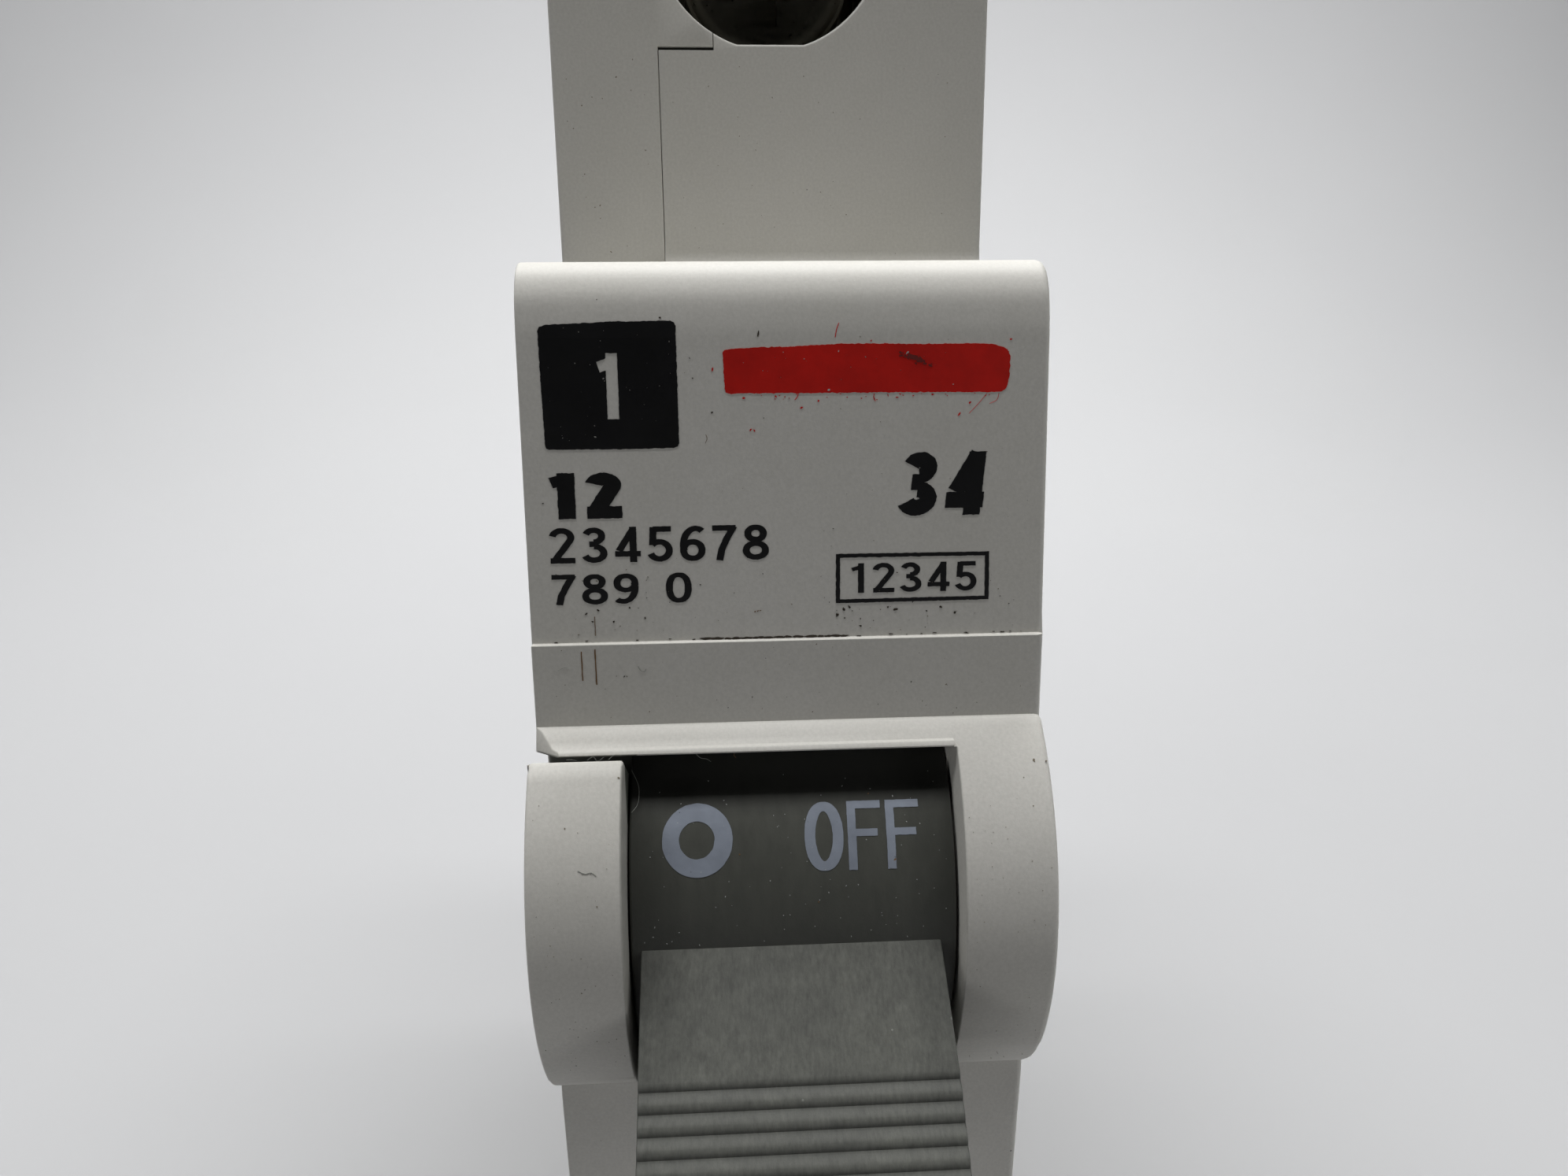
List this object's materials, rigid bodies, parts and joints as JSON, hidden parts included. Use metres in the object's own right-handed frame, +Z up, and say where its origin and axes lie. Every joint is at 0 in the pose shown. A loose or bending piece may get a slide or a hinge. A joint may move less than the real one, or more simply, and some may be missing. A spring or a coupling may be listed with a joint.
{
  "type": "circuit breaker",
  "caption": "One-module rail-mounted single-pole circuit breaker with a toggle between two cheeks, screw terminals at both ends and a sliding rail clip.",
  "frame": {"origin": "centre of the rail seat, in the plane of the rail's front face, midway up the body", "axes": "+X to the right as seen from the front, +Y back towards the rail, +Z up as installed"},
  "size_m": [0.0176, 0.069, 0.084],
  "materials": {
    "shell_plastic": "fine matt moulded, warm light grey",
    "toggle_plastic": "moulded, mid to dark grey, printed mark",
    "black_plastic": "moulded",
    "tan_plastic": "moulded phenolic",
    "steel": "plain steel",
    "zinc_plate": "zinc plated, satin",
    "copper": "bare copper, satin",
    "silver": "silver contact alloy",
    "bimetal": "rolled",
    "fibre": "vulcanised fibre"
  },
  "bodies": {
    "body": {"housing_base": "shell_plastic", "housing_cover": "shell_plastic", "toggle_pin": "steel", "toggle_spring": "steel", "carrier_pin": "steel", "contact_spring": "steel", "fixed_contact_plate": "copper", "fixed_contact_tip": "silver", "lower_arc_runner": "copper", "chute_side_left": "fibre", "chute_side_right": "fibre", "coil_bobbin": "black_plastic", "magnet_coil": "copper", "magnet_yoke": "steel", "fixed_core": "steel", "plunger_spring": "steel", "lower_terminal_plate": "copper", "upper_terminal_plate": "copper", "bimetal_bracket": "steel", "bimetal_strip": "bimetal", "calibration_screw": "zinc_plate", "flexible_braid": "copper", "rail_clip_spring": "steel", "rivet_1": "zinc_plate", "rivet_2": "zinc_plate", "rivet_3": "zinc_plate", "rivet_4": "zinc_plate", "rivet_5": "zinc_plate", "rivet_6": "zinc_plate", "arc_plate_1": "steel", "arc_plate_2": "steel", "arc_plate_3": "steel", "arc_plate_4": "steel", "arc_plate_5": "steel", "arc_plate_6": "steel", "arc_plate_7": "steel", "arc_plate_8": "steel", "arc_plate_9": "steel"},
    "toggle": {"toggle": "toggle_plastic"},
    "link": {"operating_link": "steel"},
    "carrier": {"contact_carrier": "black_plastic", "contact_arm": "copper", "moving_contact_tip": "silver", "latch_pin": "steel", "latch_spring": "steel"},
    "latch": {"latch_lever": "tan_plastic"},
    "plunger": {"plunger": "steel", "striker_pin": "zinc_plate"},
    "rail_clip": {"rail_clip": "black_plastic"},
    "upper_screw": {"upper_terminal_screw": "zinc_plate"},
    "lower_screw": {"lower_terminal_screw": "zinc_plate"},
    "upper_cage": {"upper_terminal_cage": "zinc_plate"},
    "lower_cage": {"lower_terminal_cage": "zinc_plate"}
  },
  "joints": [
    {"name": "toggle_turn", "type": "hinge", "parent": "body", "child": "toggle", "pos_m": [0, -0.0496, -0.00025], "axis": [-1, 0, 0], "range_deg": [0, 48], "deforming": ["toggle_spring"]},
    {"name": "link_turn", "type": "hinge", "parent": "toggle", "child": "link", "pos_m": [0, -0.04996, 0.00494], "axis": [-1, 0, 0], "range_deg": [-48, 0]},
    {"name": "carrier_turn", "type": "hinge", "parent": "body", "child": "carrier", "pos_m": [0, -0.0304, 0.0085], "axis": [1, 0, 0], "range_deg": [0, 26], "deforming": ["contact_spring", "flexible_braid"]},
    {"name": "latch_trip", "type": "hinge", "parent": "carrier", "child": "latch", "pos_m": [0, -0.0366, 0.0081], "axis": [-1, 0, 0], "range_deg": [0, 8], "stiffness_Nm_per_rad": 0.003, "springref_deg": -17.19, "deforming": ["latch_spring"]},
    {"name": "plunger_strike", "type": "slide", "parent": "body", "child": "plunger", "axis": [0, 0, -1], "range_m": [0, 0.0021], "stiffness_N_per_m": 150, "springref_m": -0.003, "deforming": ["plunger_spring"]},
    {"name": "rail_clip_slide", "type": "slide", "parent": "body", "child": "rail_clip", "axis": [0, 0, -1], "range_m": [0, 0.004], "stiffness_N_per_m": 1200, "springref_m": -0.003, "deforming": ["rail_clip_spring"]},
    {"name": "upper_screw_turn", "type": "hinge", "parent": "body", "child": "upper_screw", "pos_m": [0, -0.033, 0.036], "axis": [0, 1, 0], "range_deg": [0, 1800]},
    {"name": "upper_cage_rise", "type": "slide", "parent": "body", "child": "upper_cage", "axis": [0, -1, 0], "range_m": [0, 0.004]},
    {"name": "lower_screw_turn", "type": "hinge", "parent": "body", "child": "lower_screw", "pos_m": [0, -0.033, -0.036], "axis": [0, 1, 0], "range_deg": [0, 1800]},
    {"name": "lower_cage_rise", "type": "slide", "parent": "body", "child": "lower_cage", "axis": [0, -1, 0], "range_m": [0, 0.004]}
  ],
  "couplings": [
    {"joint": "link_turn", "follows": "toggle_turn", "ratio": -1},
    {"joint": "carrier_turn", "follows": "toggle_turn", "ratio": 0.54166},
    {"joint": "upper_screw_turn", "follows": "upper_cage_rise", "rad_per_m": 7853.9},
    {"joint": "lower_screw_turn", "follows": "lower_cage_rise", "rad_per_m": 7853.9}
  ]
}
